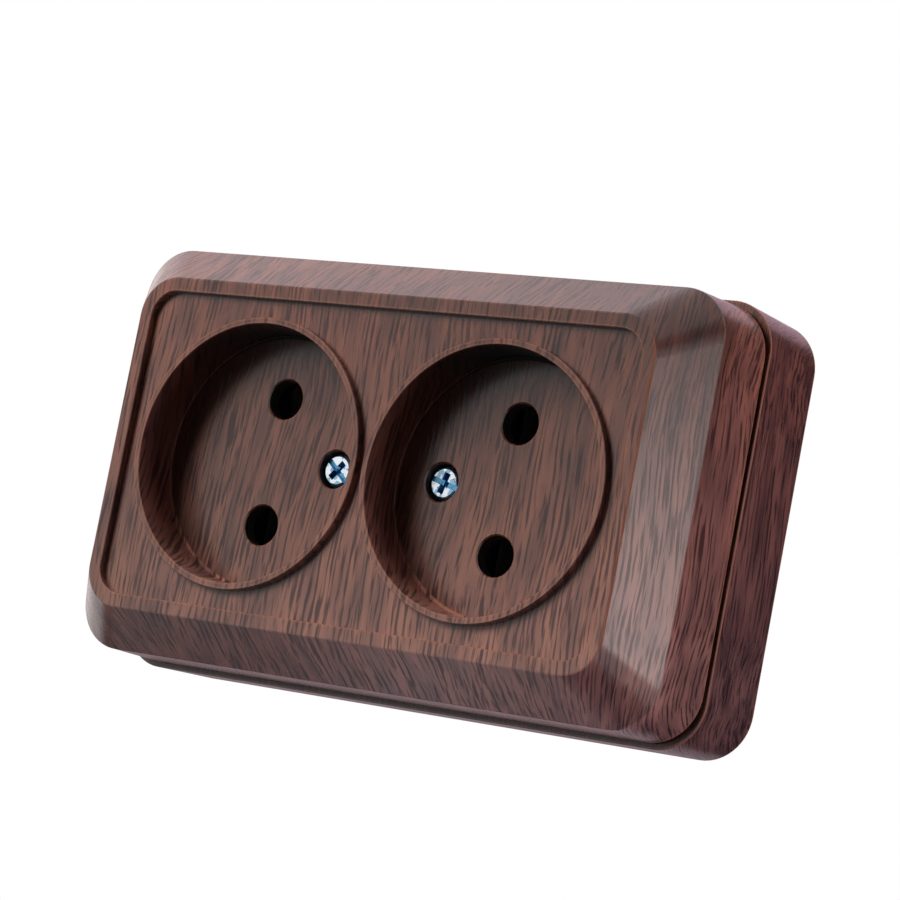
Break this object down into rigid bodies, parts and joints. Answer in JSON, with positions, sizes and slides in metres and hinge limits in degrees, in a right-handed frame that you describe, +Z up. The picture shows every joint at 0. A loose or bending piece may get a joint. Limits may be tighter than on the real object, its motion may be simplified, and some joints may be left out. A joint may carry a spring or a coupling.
{
  "type": "double wall socket",
  "caption": "Surface-mounted double wall socket for round-pin plugs: bevelled wood-grain cover with recessed cups over a shallow box that holds spring contacts and screw terminals.",
  "frame": {"origin": "centre of the mounting face, on the wall plane", "axes": "+X to the right seen from the front, +Y into the wall, +Z up; the cups face -Y"},
  "size_m": [0.1036, 0.0333, 0.064],
  "materials": {
    "woodgrain_plastic": "satin wood-grain film over plastic, red-brown with dark streaks",
    "carrier_plastic": "plain dark moulding",
    "brass": "stamped sheet",
    "spring_steel": "bright spring steel",
    "zinc_steel": "bright zinc plate"
  },
  "bodies": {
    "root": {"back_box": "woodgrain_plastic", "carrier_screws": "zinc_steel", "clamp_plate_lower_left": "zinc_steel", "clamp_plate_lower_right": "zinc_steel", "clamp_plate_upper_left": "zinc_steel", "clamp_plate_upper_right": "zinc_steel", "contact_carrier": "carrier_plastic", "contact_rivets": "brass", "cover_nuts": "zinc_steel", "cover_screws": "zinc_steel", "front_cover": "woodgrain_plastic", "line_bar": "brass", "neutral_bar": "brass", "pin_contact_lower_left": "brass", "pin_contact_lower_right": "brass", "pin_contact_upper_left": "brass", "pin_contact_upper_right": "brass", "spring_clip_lower_left": "spring_steel", "spring_clip_lower_right": "spring_steel", "spring_clip_upper_left": "spring_steel", "spring_clip_upper_right": "spring_steel", "terminal_nuts": "zinc_steel", "terminal_screws": "zinc_steel"}
  },
  "joints": []
}
